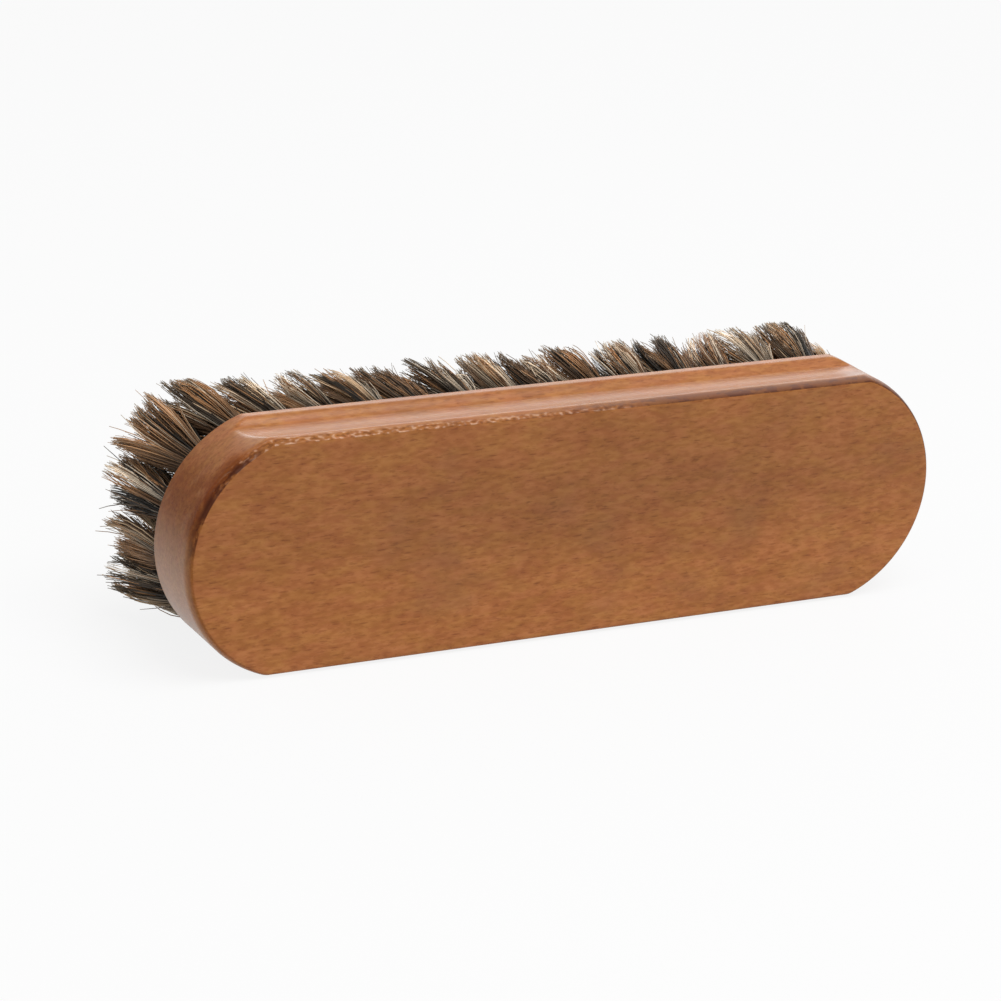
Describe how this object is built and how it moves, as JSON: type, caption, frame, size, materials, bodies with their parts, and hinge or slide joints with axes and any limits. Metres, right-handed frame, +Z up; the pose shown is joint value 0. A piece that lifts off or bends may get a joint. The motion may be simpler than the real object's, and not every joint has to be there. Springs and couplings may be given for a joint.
{
  "type": "leather cleaning brush",
  "caption": "Long hand brush lying on its side: a varnished beech block with rounded ends and finger grooves, with flared tufts of mixed horsehair set in blind holes.",
  "frame": {"origin": "on the surface that the brush lies on, under the middle of its box", "axes": "+X along the brush, -Y out of the block's flat back, +Y along the hair, +Z up across the brush's width"},
  "size_m": [0.1716, 0.0422, 0.049],
  "materials": {
    "varnished_beech": "stained and lacquered, satin",
    "horsehair": "mixed natural horsehair, black, brown, auburn and cream, trimmed flat"
  },
  "bodies": {
    "root": {"wood_block": "varnished_beech", "edge_tuft_01": "horsehair", "edge_tuft_02": "horsehair", "edge_tuft_03": "horsehair", "edge_tuft_04": "horsehair", "edge_tuft_05": "horsehair", "edge_tuft_06": "horsehair", "edge_tuft_07": "horsehair", "edge_tuft_08": "horsehair", "edge_tuft_09": "horsehair", "edge_tuft_10": "horsehair", "edge_tuft_11": "horsehair", "edge_tuft_12": "horsehair", "edge_tuft_13": "horsehair", "edge_tuft_14": "horsehair", "edge_tuft_15": "horsehair", "edge_tuft_16": "horsehair", "edge_tuft_17": "horsehair", "edge_tuft_18": "horsehair", "edge_tuft_19": "horsehair", "edge_tuft_20": "horsehair", "edge_tuft_21": "horsehair", "edge_tuft_22": "horsehair", "edge_tuft_23": "horsehair", "edge_tuft_24": "horsehair", "edge_tuft_25": "horsehair", "edge_tuft_26": "horsehair", "edge_tuft_27": "horsehair", "edge_tuft_28": "horsehair", "edge_tuft_29": "horsehair", "edge_tuft_30": "horsehair", "edge_tuft_31": "horsehair", "edge_tuft_32": "horsehair", "edge_tuft_33": "horsehair", "edge_tuft_34": "horsehair", "edge_tuft_35": "horsehair", "edge_tuft_36": "horsehair", "middle_tuft_01": "horsehair", "middle_tuft_02": "horsehair", "middle_tuft_03": "horsehair", "middle_tuft_04": "horsehair", "middle_tuft_05": "horsehair", "middle_tuft_06": "horsehair", "middle_tuft_07": "horsehair", "middle_tuft_08": "horsehair", "middle_tuft_09": "horsehair", "middle_tuft_10": "horsehair", "middle_tuft_11": "horsehair", "middle_tuft_12": "horsehair", "middle_tuft_13": "horsehair", "middle_tuft_14": "horsehair", "middle_tuft_15": "horsehair", "middle_tuft_16": "horsehair", "middle_tuft_17": "horsehair", "middle_tuft_18": "horsehair", "middle_tuft_19": "horsehair", "middle_tuft_20": "horsehair", "middle_tuft_21": "horsehair", "middle_tuft_22": "horsehair"}
  },
  "joints": []
}
